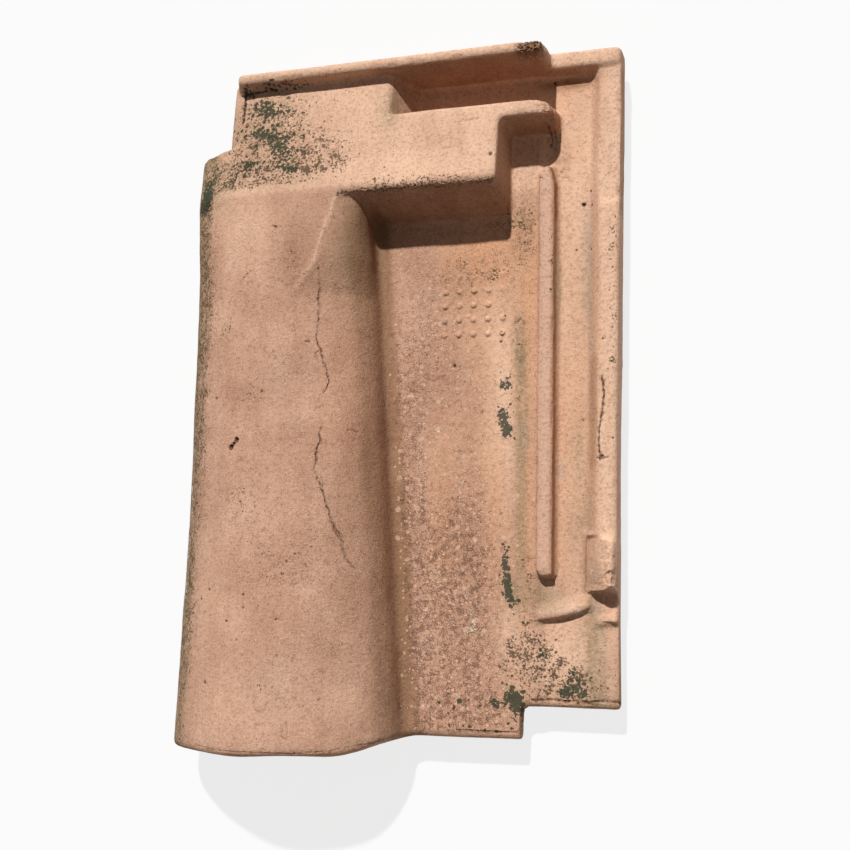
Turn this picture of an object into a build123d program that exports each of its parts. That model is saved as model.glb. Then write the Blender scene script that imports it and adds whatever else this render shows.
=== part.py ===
from build123d import *
from math import cos, sin, radians
import os

# Clay roof tile with one roll, a flat pan, a side lock on the right and a raised head block.
# It is modelled from its left edge (x 0) and its roll's foot (y 0), then moved so that the
# origin is the middle of its footprint. z 0 is the plane that the nibs and foot rib stand on.

# overall sizes
tile_w = 297.0
tile_l = 460.5
wall = 12.0
nib_h = 12.0
under_z = nib_h
pan_z = under_z + wall
over = 20.0  # how far a cutting shape runs past the tile
sink = 1.0  # how far a joined shape reaches into its neighbour
tiny = 0.1  # tolerance for finding corners and edges

# roll: foot and head stations
crown_foot = 60.0
crown_head = 37.3
crown_x_foot = 80.0
crown_x_head = 72.0
valley_x_foot = 163.0
valley_x_head = 131.0
apex_y = tile_l - 93.5
crease_y = tile_l - 163.5
round_left_foot = 1.85
round_left_head = 3.4
round_left_power = 5
round_right_foot = 2.0
round_right_head = 6.0
valley_reach_foot = 5.0
valley_reach_head = 4.0
head_fall = 0.15  # drop per mm of the head towards its end
flank_z = pan_z - 1.0
flank_in = 1.8  # how far the left edge stands in at mid-length
roll_end_y = tile_l - 54.5
shoulder_t = 12.0
shoulder_skew = 7.0
shoulder_run = 9.0
start_y = -4.0  # before the foot, whose outline is then cut
turn_low = 0.36  # stations between crease and apex
turn_high = 0.69

# foot outline in plan
pan_foot_y = 14.0
lock_foot_y = 34.0
nose_x0 = 20.0
nose_x1 = 62.0
nose_x2 = 108.0
nose_x3 = 122.0
nose_y = 1.9
pan_foot_x = 168.0
foot_round = 4.0

# pan and side lock
pan_right_x = tile_w - 55.0
notch_x = pan_right_x - 11.0
notch_draft = 1.5
pan_edge_run = 3.0
channel_z = pan_z - 2.0
rib_x0 = pan_right_x
rib_x1 = rib_x0 + 11.5
rib_y0 = 113.0
rib_y1 = tile_l - 76.5
rib_tip = 8.0
rib_tail = 14.0
rib_corner = 3.5
rib_lean = 5.0
rib_round = 1.5
rib_top_z = pan_z + 7.5
rim_foot_x = tile_w - 20.5
rim_top_x = tile_w - 12.0
rim_z = pan_z + 8.0
rim_low = 2.0
rim_ramp = 5.0
rim_round = 2.5
rim_y0 = 105.0
rim_y1 = tile_l - 108.5
side_y = (0.0, 202.0, tile_l)
side_in = (4.2, 3.5, 0.0)  # how far the right edge stands in at side_y

# worn lower end of the lock's rim, cross dam and bump
lump_l = 30.0
lump_h = 5.0
lump_inset = 3.0
lump_lean_side = 6.0
lump_lean_back = 14.0
lump_corner = 3.2
dam_x = pan_right_x + 17.0
dam_y = 94.0
dam_len = 34.0
dam_half = 6.0
dam_sunk = 2.5
dam_turn = 14.0
bump_x = tile_w - 11.0
bump_y = 87.0
bump_size = (12.0, 5.0, 9.0)
bump_sunk = 2.0
bump_turn = 6.0

# narrow head of the roll
plateau_z = pan_z + crown_head + 0.7
head_left_x = 20.0
head_top_x = 46.0
head_bulge = 2.2
plateau_x = 144.0
plateau_low_x = 158.0
plateau_round = 4.0
head_wall = 11.0
hollow_reach = 40.0
slope_wall_top = 7.0
slope_wall_low = 13.0
slope_wall_z = 6.0
flank_steps = (180, 170, 160, 150, 140, 130, 120, 110, 100, 90)

# head block and arm
block_left_x = 108.0
block_low_x = 121.0
block_x = pan_right_x - 21.5
block_draft_x = 2.0
block_top_y = apex_y - 2.5
block_foot_y = block_top_y - 15.0
block_back_y = tile_l - 41.2
block_back_draft = 2.0
block_corner = 4.0
block_foot_round = 3.0
block_hollow_x = 85.0
arm_x = pan_right_x + 12.0
arm_y = block_back_y - 11.0
arm_draft = 1.5
hollow_draft = 1.4
hollow_low_z = -5.0
hollow_corner = 4.0
floor_lap = 4.0
floor_run = 6.0

# head rims
head_rim_z = pan_z + 36.5
head_rim_t = 11.0
back_draft = 3.5
head_rim_left_x = 36.0
head_rim_right_x = pan_right_x + 8.0
head_rim_lean = 16.0
lock_head_t = 12.3
lock_head_z = pan_z + 9.0
lock_head_round = 3.0
lock_lap = 4.0
head_draft = 2.0
head_corner = 3.5
edge_round = 2.5

# pips on the pan
pip_n = 5
pip_pitch = 9.82
pip_low_r = 2.0
pip_top_r = 1.2
pip_h = 0.8
pip_x = pan_right_x - 44.0
pip_y = tile_l - 168.5

# underside
nib_t = 14.0
nib_w = 42.0
nib_left_x = 72.0
nib_right_x = pan_right_x - 42.0
nib_draft = 3.0
nib_left_reach = 6.0
foot_rib_t = 10.0
foot_rib_y = 26.0
foot_rib_x0 = pan_foot_x + 2.0
foot_rib_x1 = notch_x


def mix(a, b, t):
    return a + (b - a) * t


def head_top(y):
    """Height of the head's sloping top at y."""
    return plateau_z - head_fall * (y - block_top_y)


def arch(a, xc, half, base, rise, n):
    """Point and direction at angle a (180 left foot, 90 crown, 0 right foot) of a rounded arch."""
    def at(deg):
        c, s = cos(radians(deg)), sin(radians(deg))
        return Vector(xc + half * abs(c) ** (2 / n) * (1 if c > 0 else -1), 0, base + rise * abs(s) ** (2 / n))
    if a == 180:
        return at(a), Vector(0, 0, 1)
    if a == 90:
        return at(a), Vector(1, 0, 0)
    return at(a), (at(a - 0.1) - at(a + 0.1)).normalized()


def arch_curve(y, inset):
    """Roll's outer curve at station y, or its hollow's curve when inset is the wall."""
    t = min(max(y / apex_y, 0.0), 1.0)
    high = mix(crown_foot, crown_head, t) - head_fall * max(y - apex_y, 0.0)
    xc = mix(crown_x_foot, crown_x_head, t)
    xv = mix(valley_x_foot, valley_x_head, t)
    reach = mix(valley_reach_foot, valley_reach_head, t)
    n_left = mix(round_left_foot, round_left_head, t ** round_left_power)
    turn = min(max((y - crease_y) / (apex_y - crease_y), 0.0), 1.0)
    n_right = mix(round_right_foot, round_right_head, turn)
    left_rise = pan_z + high - flank_z - inset
    half = xc - flank_in * 4 * t * (1 - t) - inset
    knots = [arch(a, xc, half, flank_z, left_rise, n_left) for a in (180, 150, 120)]
    knots += [arch(a, xc, xv - reach - xc - inset, pan_z, high - inset, n_right) for a in (90, 60, 30, 10)]
    knots.append((Vector(xv, 0, pan_z - inset), Vector(1, 0, 0)))
    return Spline(*[p + Vector(0, y, 0) for p, d in knots], tangents=[d for p, d in knots])


def shell_section(y):
    """Closed section of roll and pan at one station."""
    top = arch_curve(y, 0.0)
    low = arch_curve(y, wall)
    pan_top = Line(top @ 1, (pan_right_x, y, pan_z))
    pan_low = Line(low @ 1, (pan_right_x, y, under_z))
    return make_face([top, pan_top, Line(pan_top @ 1, pan_low @ 1), pan_low, low, Line(low @ 0, top @ 0)])


def prism_y(points, y0, y1):
    """Solid with a section given as (x, z) points, from y0 to y1."""
    face = make_face(Polyline(*[(px, y0, pz) for px, pz in points], close=True))
    return extrude(face, amount=y1 - y0, dir=(0, 1, 0))


def prism_x(points, x0, x1):
    """Solid with a section given as (y, z) points, from x0 to x1."""
    face = make_face(Polyline(*[(x0, py, pz) for py, pz in points], close=True))
    return extrude(face, amount=x1 - x0, dir=(1, 0, 0))


def plan(points, z, r=0.0):
    """Flat outline given as (x, y) points at height z, a number or a slope, corners rounded by r."""
    face = make_face(Polyline(*[(px, py, z(py) if callable(z) else z) for px, py in points], close=True))
    return fillet(face.vertices(), r) if r else face


def prism_z(points, z0, z1, r=0.0, taper=0.0):
    """Solid with a plan given as (x, y) points, from z0 to z1."""
    return extrude(plan(points, z0, r), amount=z1 - z0, dir=(0, 0, 1), taper=taper)


def block(x0, x1, y0, y1, z0, z1, dx0=0.0, dx1=0.0, dy0=0.0, dy1=0.0, r=0.0):
    """Box whose top is x0..x1, y0..y1 and whose sides lean out by the d values at its bottom."""
    top = [(x0, y0), (x1, y0), (x1, y1), (x0, y1)]
    low = [(x0 - dx0, y0 - dy0), (x1 + dx1, y0 - dy0), (x1 + dx1, y1 + dy1), (x0 - dx0, y1 + dy1)]
    return loft([plan(low, z0, r), plan(top, z1, r)], ruled=True)


def edges_in(solid, low, high):
    """Edges of a solid that lie inside the box from low to high."""
    found = []
    for e in solid.edges():
        b = e.bounding_box()
        inside = [lo - tiny <= b0 and b1 <= hi + tiny for lo, b0, b1, hi in zip(low, b.min, b.max, high)]
        if all(inside):
            found.append(e)
    return found


def soften(solid, r):
    """Round the edges of a solid's top face by r."""
    return fillet(solid.faces().sort_by(Axis.Z)[-1].edges(), r)


# roll and pan
stations = (start_y, crease_y / 2, crease_y, mix(crease_y, apex_y, turn_low), mix(crease_y, apex_y, turn_high),
            apex_y, roll_end_y)
shell = loft([shell_section(s) for s in stations], ruled=True)

# the roll's head end is filled up to the narrower hollow of the head
end_top = arch_curve(roll_end_y, 0.0)
end_low = Vector(valley_x_head, roll_end_y, flank_z)
end_face = make_face([end_top, Line(end_top @ 1, end_low), Line(end_low, end_top @ 0)])
shoulder = extrude(end_face, amount=shoulder_t, dir=(0, -1, 0))
shoulder_x = head_left_x + shoulder_run
shoulder_cut = prism_z([(-over, roll_end_y - shoulder_skew), (shoulder_x, roll_end_y),
                        (shoulder_x, roll_end_y + over), (-over, roll_end_y + over)], -over, 2 * plateau_z)

# lower edge of the roll's nose and the pan's foot, seen from above
right = tile_w + over
foot_line = [Line((-over, nose_y), (nose_x0, nose_y)),
             Spline((nose_x0, nose_y), (nose_x1, 0), tangents=[(1, 0), (1, 0)]),
             Spline((nose_x1, 0), (nose_x2, nose_y), tangents=[(1, 0), (1, 0)]),
             Line((nose_x2, nose_y), (nose_x3, nose_y)),
             Spline((nose_x3, nose_y), (pan_foot_x, pan_foot_y), tangents=[(1, 0), (1, 0)]),
             Line((pan_foot_x, pan_foot_y), (right, pan_foot_y)), Line((right, pan_foot_y), (right, -over)),
             Line((right, -over), (-over, -over)), Line((-over, -over), (-over, nose_y))]
foot_cut = extrude(make_face(foot_line), amount=2 * plateau_z)
notch_cut = prism_z([(notch_x, -over), (right, -over), (right, lock_foot_y),
                     (notch_x + notch_draft, lock_foot_y)], -over, 2 * plateau_z)

# side lock: floor, outer rim, rib, worn lower end of the rim, cross dam, bump
def lock_section(y, inward):
    """Floor of the side lock at y, with its right edge moved inward."""
    edge_x = tile_w - inward
    points = [(lap_x, under_z), (edge_x, under_z), (edge_x, channel_z),
              (pan_right_x + pan_edge_run, channel_z), (pan_right_x, pan_z), (lap_x, pan_z)]
    return make_face(Polyline(*[(px, y, pz) for px, pz in points], close=True))


def rim_section(y, inward):
    """Outer rim of the side lock at y, moved inward, its two top corners rounded."""
    points = [(rim_foot_x, under_z), (rim_foot_x, channel_z), (rim_top_x, rim_z),
              (tile_w, rim_z), (tile_w, under_z)]
    face = make_face(Polyline(*[(px - inward, y, pz) for px, pz in points], close=True))
    return fillet([v for v in face.vertices() if v.Z > rim_z - tiny], rim_round)


lap_x = pan_right_x - lock_lap
lock_floor = loft([lock_section(y, d) for y, d in zip(side_y, side_in)], ruled=True)
rim_low_in = mix(side_in[0], side_in[1], rim_y0 / side_y[1])
rim = loft([rim_section(rim_y0, rim_low_in), rim_section(side_y[1], side_in[1]),
            rim_section(tile_l, side_in[2])], ruled=True)
rim_cut = prism_x([(rim_y1, rim_z), (rim_y1 + rim_ramp, rim_z - rim_low), (tile_l + over, rim_z - rim_low),
                   (tile_l + over, rim_z + over), (rim_y1, rim_z + over)], rim_foot_x, tile_w + over)
rib_plan = [(rib_x0, rib_y0 + rib_corner), (rib_x0 + rib_corner, rib_y0), (rib_x1, rib_y0 + rib_tip),
            (rib_x1, rib_y1 - rib_tail), (rib_x1 - rib_corner, rib_y1), (rib_x0, rib_y1 - rib_corner)]
rib = soften(prism_z(rib_plan, channel_z - sink, rib_top_z, taper=rib_lean), rib_round)
lump_x0, lump_x1 = rim_foot_x + lump_inset - rim_low_in, tile_w - sink - rim_low_in
lump = soften(block(lump_x0, lump_x1, rim_y0, rim_y0 + lump_l, under_z, rim_z + lump_h, dx0=lump_lean_side,
                    dx1=sink, dy0=sink / 2, dy1=lump_lean_back, r=lump_corner), edge_round)
dam_section = make_face([ThreePointArc((-dam_half, 0), (0, dam_half), (dam_half, 0)),
                         Line((dam_half, 0), (-dam_half, 0))])
dam = extrude(Plane.YZ * dam_section, amount=dam_len / 2, both=True)
dam = Pos(dam_x, dam_y, channel_z - dam_sunk) * Rot(0, 0, dam_turn) * dam
bump = Pos(bump_x, bump_y, channel_z - bump_sunk) * Rot(0, 0, bump_turn) * soften(Box(*bump_size), rib_round)

# head: narrow roll with its hollow, floor of the trough
def head_section(y):
    """Outer section of the narrow roll at y."""
    rise = head_top(y) - flank_z
    flank = [arch(a, head_top_x, head_top_x - head_left_x, flank_z, rise, head_bulge)[0] for a in flank_steps]
    points = [(p.X, p.Z) for p in flank]
    points += [(plateau_x, head_top(y)), (plateau_low_x, pan_z), (plateau_low_x, under_z),
               (plateau_x, under_z), (plateau_x, flank_z)]
    face = make_face(Polyline(*[(px, y, pz) for px, pz in points], close=True))
    return fillet([v for v in face.vertices() if abs(v.X - plateau_x) < tiny and v.Z > pan_z], plateau_round)


def hollow_section(y):
    """Section of the hollow below the narrow roll at y."""
    rise = head_top(y) - flank_z - wall
    half = head_top_x - head_left_x - wall
    flank = [arch(a, head_top_x, half, flank_z, rise, head_bulge)[0] for a in flank_steps]
    low_x = plateau_low_x - slope_wall_low
    points = [(head_left_x + wall, -over)] + [(p.X, p.Z) for p in flank]
    points += [(plateau_x - slope_wall_top, head_top(y) - wall), (low_x, under_z + slope_wall_z),
               (low_x + sink, -over)]
    return make_face(Polyline(*[(px, y, pz) for px, pz in points], close=True))


head_body = loft([head_section(roll_end_y - shoulder_t), head_section(tile_l)], ruled=True)
head_hollow = loft([hollow_section(roll_end_y - hollow_reach), hollow_section(tile_l - head_wall)], ruled=True)

# head block with its arm over the side lock, hollow from below
arm_low_x, arm_low_y, back_low_y = arm_x + arm_draft, arm_y - arm_draft, block_back_y + block_back_draft
block_top = [(block_left_x, block_top_y), (block_x, block_top_y), (block_x, arm_y), (arm_x, arm_y),
             (arm_x, block_back_y), (block_left_x, block_back_y)]
side_low_x = block_x + block_draft_x
block_low = [(block_low_x, block_foot_y), (side_low_x, block_foot_y), (side_low_x, arm_low_y),
             (arm_low_x, arm_low_y), (arm_low_x, back_low_y), (block_low_x, back_low_y)]
head_block = loft([plan(block_low, channel_z - sink, block_corner),
                   plan(block_top, head_top, block_corner)], ruled=True)
head_block = soften(head_block, edge_round)

# floor under the block and along the trough, rounded up to the block's riser
floor_x = valley_x_head - floor_lap
head_floor = prism_z([(floor_x, block_foot_y - floor_run), (pan_right_x, block_foot_y - floor_run),
                      (pan_right_x, tile_l), (floor_x, tile_l)], under_z, pan_z)
head_block = head_block + head_floor
riser_foot = edges_in(head_block, (floor_x, block_foot_y, pan_z), (side_low_x, block_foot_y + 2 * sink, pan_z))
head_block = fillet(riser_foot, block_foot_round)

block_hollow = block(block_hollow_x, block_x - wall, block_top_y + wall, block_back_y - wall, hollow_low_z,
                     lambda y: head_top(y) - wall, dx1=block_draft_x * hollow_draft,
                     dy0=(block_top_y - block_foot_y) * hollow_draft, dy1=block_back_draft, r=hollow_corner)

# head rims
head_rim = soften(block(head_rim_left_x, head_rim_right_x, tile_l - head_rim_t, tile_l, pan_z - sink,
                        head_rim_z, dx0=head_rim_lean, dx1=sink, dy0=head_draft, r=head_corner), edge_round)
lock_head = soften(block(head_rim_right_x - lock_lap, tile_w - sink, tile_l - lock_head_t, tile_l,
                         channel_z - sink, lock_head_z, dy0=head_draft, r=head_corner), lock_head_round)

# leaning back of the head wall
back_cut = prism_x([(tile_l, under_z), (tile_l - back_draft, head_rim_z),
                    (tile_l - back_draft, head_rim_z + over), (tile_l + over, head_rim_z + over),
                    (tile_l + over, under_z)], -over, tile_w + over)

# underside: two nibs below the head wall, one rib below the pan's foot
def stand(x0, x1, y0, depth, top):
    """Bar across the tile that narrows down to z 0."""
    section = [(x0 + nib_draft, 0), (x1 - nib_draft, 0), (x1, top), (x0, top)]
    return prism_y(section, y0, y0 + depth)


nibs = [stand(x - nib_w / 2, x + nib_w / 2, tile_l - nib_t, nib_t, top)
        for x, top in ((nib_left_x, flank_z + nib_left_reach), (nib_right_x, under_z + sink))]
foot_rib = stand(foot_rib_x0, foot_rib_x1, foot_rib_y, foot_rib_t, under_z + sink)

# pips
pip = Cone(pip_low_r, pip_top_r, 2 * pip_h)
steps = [pip_pitch * (i - (pip_n - 1) / 2) for i in range(pip_n)]
pips = [Pos(pip_x + dx, pip_y + dy, pan_z) * pip for dx in steps for dy in steps]

# all joined to one piece
roll_part = shell - shoulder_cut - block_hollow - head_hollow
head_part = head_body + head_block + (shoulder - shoulder_cut)
head_part = head_part - head_hollow - block_hollow
lock_part = lock_floor + rim - rim_cut
lock_part = lock_part + rib + lump + dam + bump
tile = roll_part + head_part + lock_part
tile = tile + head_rim + lock_head
tile = tile - back_cut + nibs[0] + nibs[1] + foot_rib
tile = tile - foot_cut - notch_cut

# rounded top edges of the tile's foot
tile = fillet(edges_in(tile, (0, 0, flank_z), (notch_x + sink, pan_foot_y, 2 * plateau_z)), foot_round)
tile = fillet(edges_in(tile, (notch_x, lock_foot_y, channel_z), (tile_w, lock_foot_y, pan_z)), foot_round)
tile = tile + pips
tile = Pos(-tile_w / 2, -tile_l / 2, 0) * tile

os.makedirs("parts", exist_ok=True)
export_step(tile.solids()[0], "parts/roof_tile.step")
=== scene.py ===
import math

import bmesh
import bpy
import numpy as np
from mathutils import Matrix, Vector, noise


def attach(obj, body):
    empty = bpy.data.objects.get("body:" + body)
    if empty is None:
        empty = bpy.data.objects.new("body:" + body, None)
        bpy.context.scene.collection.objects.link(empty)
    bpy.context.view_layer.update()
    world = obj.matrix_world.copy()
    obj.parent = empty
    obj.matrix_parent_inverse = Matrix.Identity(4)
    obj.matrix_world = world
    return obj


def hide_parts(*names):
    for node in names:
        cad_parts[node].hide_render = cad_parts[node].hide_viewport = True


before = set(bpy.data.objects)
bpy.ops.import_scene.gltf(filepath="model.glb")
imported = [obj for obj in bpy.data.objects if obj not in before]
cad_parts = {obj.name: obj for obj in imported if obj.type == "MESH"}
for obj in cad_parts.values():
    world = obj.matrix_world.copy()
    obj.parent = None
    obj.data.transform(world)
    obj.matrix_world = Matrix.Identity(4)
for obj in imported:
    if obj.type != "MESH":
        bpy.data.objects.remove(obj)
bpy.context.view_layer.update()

# Places on the tile are in millimetres, x from its left edge, y from the foot of its roll and z from the
# plane that it stands on.
LEFT, FOOT = 148.5, 228.25
PAN_TOP = 24.0
INNER_WALL_X = 80
RIB_X, RIB_END, RIB_FOOT_Z = 242.0, 111.0, 22.7
PIP_X, PIP_Y, PIP_STEP, PIPS_ALONG = 198.0, 290.0, 9.82, 5
PIP_TOP_RADIUS, PIP_FOOT_RADIUS, PIP_HEIGHT, PIP_PATCH = 1.1, 2.5, 1.6, 24

# The body's mesh: voxels and the distance at which points merge are in metres. A place is on an outer edge
# when it stands out from its neighbours by these millimetres.
VOXEL, MERGE = 0.0016, 2e-6
EDGE_STARTS, EDGE_FULL = 0.05, 0.22
THINNED_BELOW = 0.88
MOST_FACES = 186000
SHARP_ANGLE = math.radians(38.0)

# Size in millimetres and seed of the coarse, middle, grainy and tiny lumps, and the first three's heights.
LUMPS = [(34.0, 0.0), (10.0, 5.0), (2.6, 9.0), (1.4, 3.0)]
WAVE, RIPPLE, ROUGHNESS = 0.40, 0.16, 0.06

# Colours of the clay, of what lies on it, and of painted shade and painted highlights.
CLAY_PINK, CLAY_PALE, CLAY_DRAWN = "#BC8F76", "#D8AC91", "#B48468"
# The cream is pale clay, and also painted highlight on the pips, the crease and the tops of the rims.
CLAY_ORANGE, CLAY_CREAM_AND_HIGHLIGHT, CLAY_RIB = "#E0A67E", "#F2C7A8", "#D9AE96"
CLAY_PAN, CLAY_GREY, CLAY_CRUMBLED = "#B78C76", "#BBA593", "#B98467"
GRAIN_DARK, GRAIN_PALE = "#9A6F55", "#F0CFB4"
# Laid by multiplying: brown of firing and of stains, and painted shade.
FIRED_BROWN_AND_SHADE = (0.56, 0.48, 0.40, 1.0)
FILM_OLIVE, DUST, PORE = "#998465", "#7B583F", "#5E4330"
PAN_DIRT, PAN_SPOT, PAN_PATCH = "#67493A", "#E8C1A6", "#E3BDA2"
LICHEN, LICHEN_SPOT = "#574532", "#54452F"
MOSS_GREEN, MOSS_GREY = "#36402C", "#474A3D"
LIME_CRUST, CRACK_DARK = "#E6DCC4", "#54392A"

# The clay's finish; the bump's depth is in metres. STREAKS is how far patterns are drawn out along y.
SMOOTHEST, ROUGHEST, CLAY_SHINE = 0.84, 0.96, 0.2
BUMP_STRENGTH, BUMP_DEPTH = 0.8, 0.0008
STREAKS = (1.0, 0.16, 1.0)


def colour(code):
    """A written colour, such as #C99C80, as a linear one."""
    channels = [int(code[i:i + 2], 16) / 255 for i in (1, 3, 5)]
    linear = [c / 12.92 if c <= 0.04045 else ((c + 0.055) / 1.055) ** 2.4 for c in channels]
    return (*linear, 1.0)


def add_object(name, data):
    made = bpy.data.objects.new(name, data)
    bpy.context.scene.collection.objects.link(made)
    return made


# places on the tile and soft masks over them

def read_places(mesh):
    """Places in millimetres and normals of a mesh's points."""
    spots = np.empty(len(mesh.vertices) * 3, dtype=np.float32)
    normals = np.empty(len(mesh.vertices) * 3, dtype=np.float32)
    mesh.vertices.foreach_get("co", spots)
    mesh.vertices.foreach_get("normal", normals)
    places = spots.reshape(-1, 3).astype(float) * 1000 + np.array([LEFT, FOOT, 0.0])
    return places, normals.reshape(-1, 3).astype(float)


def step(value, low, high):
    """0 below low, 1 above high, smooth between."""
    share = np.clip((value - low) / (high - low), 0.0, 1.0)
    return share * share * (3 - 2 * share)


def between(value, low, high, soft):
    """1 from low to high and 0 outside, with soft ends."""
    return step(value, low - soft, low + soft) * (1 - step(value, high - soft, high + soft))


def oval(places, x, y, rx, ry):
    """How strongly each place lies in an oval spot, from 1 at its middle to 0 well outside."""
    return np.exp(-(((places[:, 0] - x) / rx) ** 2 + ((places[:, 1] - y) / ry) ** 2))


def ovals(places, table):
    """Sum of oval spots (x, y, rx, ry, strength) at each place."""
    total = np.zeros(len(places))
    for x, y, rx, ry, strength in table:
        total += strength * oval(places, x, y, rx, ry)
    return total


def to_line(places, points):
    """Plan distance from each place to a line through points."""
    best = np.full(len(places), np.inf)
    for (ax, ay), (bx, by) in zip(points, points[1:]):
        dx, dy = bx - ax, by - ay
        along = ((places[:, 0] - ax) * dx + (places[:, 1] - ay) * dy) / (dx * dx + dy * dy)
        along = np.clip(along, 0, 1)
        best = np.minimum(best, np.hypot(places[:, 0] - ax - along * dx, places[:, 1] - ay - along * dy))
    return best


def upper(places, normals):
    """1 on the weather side, 0 in the hollows and below."""
    left_wall = (places[:, 0] < INNER_WALL_X) & (normals[:, 0] > 0.3) & (normals[:, 2] < 0.3)
    return ((normals[:, 2] > -0.1) & ~left_wall).astype(float)


def lumps(places, size, seed):
    """Soft noise at each place, from about -1 to 1, with lumps of the given size in millimetres."""
    shift = Vector((seed, seed * 1.7, seed * 0.6))
    return np.array([noise.noise(Vector(p) / size + shift) for p in places])


# wear: cracks, pits, chips and broken places

# The line of each crack or groove, half its width, and its depth.
CRACKS = [
    ([(240, 36.2), (252, 36.8), (262, 35.8), (280, 36.6), (296, 36.2)], 1.1, 1.2),
    ([(36, 3.4), (46, 2.0), (55, 1.3), (72, 1.3), (90, 1.2), (109.5, 1.7), (124, 3.6), (136, 5.6),
      (150, 9.6)], 0.4, 0.5),
    ([(102, 311), (103, 303), (102.6, 297), (102.2, 290), (103.2, 283), (103.5, 277.6), (102.8, 270),
      (102.5, 264.5), (104, 259), (106, 256), (107, 251), (109, 246), (110.4, 241), (112, 236),
      (112, 232.6), (109.4, 227)], 0.55, 0.8),
    ([(106, 256), (103.4, 254), (102.6, 250)], 0.4, 0.5),
    ([(109.5, 204), (108.6, 200), (109.5, 196), (107.2, 189), (107.4, 182), (106.8, 176), (110, 168.5),
      (113, 162), (115.2, 155), (116.6, 151), (118.6, 145), (121, 138), (124.6, 131), (125.7, 125),
      (127.4, 121)], 0.6, 0.9),
    ([(110.2, 173), (112.4, 169), (113, 163)], 0.4, 0.6),
    ([(120, 141), (123.8, 136), (126, 130), (127.4, 121), (129.4, 118), (132.4, 114)], 0.55, 0.8),
    ([(124, 202.7), (126, 203.2), (129, 202.3)], 0.6, 0.8),
    ([(96.2, 261.2), (98.9, 260.8)], 0.6, 0.7),
    ([(68.0, 342.3), (70.6, 341.9)], 0.7, 0.9),
    ([(76, 194), (83, 196), (90, 195), (98, 197)], 0.35, 0.3),
    ([(52, 180), (58, 183), (64, 180), (70, 176)], 0.35, 0.3),
    ([(78, 34), (80, 27), (84, 25), (87, 28), (88, 33)], 0.35, 0.35),
    ([(99, 18), (98, 12), (100, 9), (101.5, 14), (100.4, 19)], 0.45, 0.45),
    ([(86, 14), (88, 8), (87, 2)], 0.35, 0.3),
    ([(92, 106), (97, 102), (102, 104)], 0.4, 0.35),
    ([(284.4, 237), (285.6, 229), (285.2, 221), (284.4, 213), (282.9, 206), (281.8, 199), (282.2, 191),
      (283.4, 184)], 0.8, 1.4),
    ([(281, 185.2), (284.2, 184.6), (288, 185.6)], 0.5, 0.7),
    ([(176, 412), (177, 406), (180, 402), (181.6, 396), (183, 392)], 0.35, 0.35),
    ([(163, 398), (166, 396), (169, 399)], 0.4, 0.35),
    ([(193, 405), (199, 407), (207, 407)], 0.35, 0.3),
    ([(184, 388), (190, 387), (197, 389)], 0.4, 0.3),
    ([(225.8, 275.6), (227, 277.6), (229.4, 278.4), (231.6, 277.2), (232, 275)], 0.6, 0.6),
    ([(192, 16.9), (205, 16.6), (218, 16.4), (230, 16.2)], 0.7, 0.9),
    ([(249, 405), (249.6, 400), (249.2, 396)], 0.6, 0.9),
    ([(252, 405), (252.2, 399), (251.6, 394)], 0.5, 0.8),
    ([(253, 383), (257, 386), (262, 389)], 0.35, 0.3),
    ([(255, 371), (259, 374), (262, 371), (261, 367)], 0.4, 0.35),
    ([(36.2, 446), (36.2, 436), (37.0, 424)], 1.5, 1.4),
    ([(168, 241), (172, 240), (175, 242)], 0.4, 0.4),
    ([(186, 191.4), (190, 192.6), (194, 191.6)], 0.5, 0.5),
]
# x, y, radius and depth of each pit.
PITS = [(48.2, 191.8, 2.0, 2.6), (52.5, 196.5, 1.9, 2.4), (50.4, 194.0, 1.3, 2.0), (54.4, 80, 0.9, 1.1),
        (66.2, 96.5, 0.9, 1.1), (66.9, 88.5, 0.8, 1.0), (89.6, 81.7, 0.7, 1.0), (63.6, 68.4, 0.7, 0.8),
        (91.8, 60, 0.7, 0.8), (270.8, 353.9, 1.5, 1.8), (284.2, 185.6, 1.8, 1.5), (185.5, 249.5, 1.2, 1.2),
        (217.0, 271.0, 0.9, 1.0), (216.6, 264.4, 0.9, 1.0), (219.4, 281.5, 0.8, 0.9), (251, 441, 1.1, 1.0),
        (275.5, 362.5, 0.8, 0.9), (276.4, 352.5, 0.7, 0.8), (266, 323.5, 0.9, 0.9), (276, 322.6, 0.7, 0.8),
        (69, 228, 1.0, 0.9), (33, 226, 0.9, 0.8), (285, 261, 0.7, 0.8), (291, 268, 0.7, 0.8),
        (40, 42, 1.1, 0.9), (31, 94, 0.9, 0.8), (38, 100, 0.8, 0.8), (200.5, 428, 1.0, 0.9),
        (217, 380, 1.6, 0.9)]
# Ledges in the lock: x from and to, y at the left end, tilt, bend, height.
LEDGES = [(239, 276, 84.6, 0.10, 5.0, 2.8), (282, 300, 84.8, -0.03, 0.0, 2.0)]
# Broken and sharp-edged places: x from and to, y from and to.
ROUGH = [(229, 252, 441, 456), (239, 254, 400, 416), (275, 298, 98, 128), (238, 279, 82, 96),
         (112, 222, 359.5, 364.5), (7, 21, 354, 370), (281, 298, 83, 87)]
# The crease where the roll turns into its right facet, and its weak lower end.
CREASE = [(112.0, 362.0), (109.8, 352.0), (108.7, 347.5), (106.0, 340.0), (104.0, 334.0), (100.6, 320.0),
          (99.4, 314.6)]
CREASE_LOW = [(99.4, 314.6), (96.0, 310.0), (92.9, 306.6), (90.4, 301.0), (87.3, 296.5)]

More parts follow.
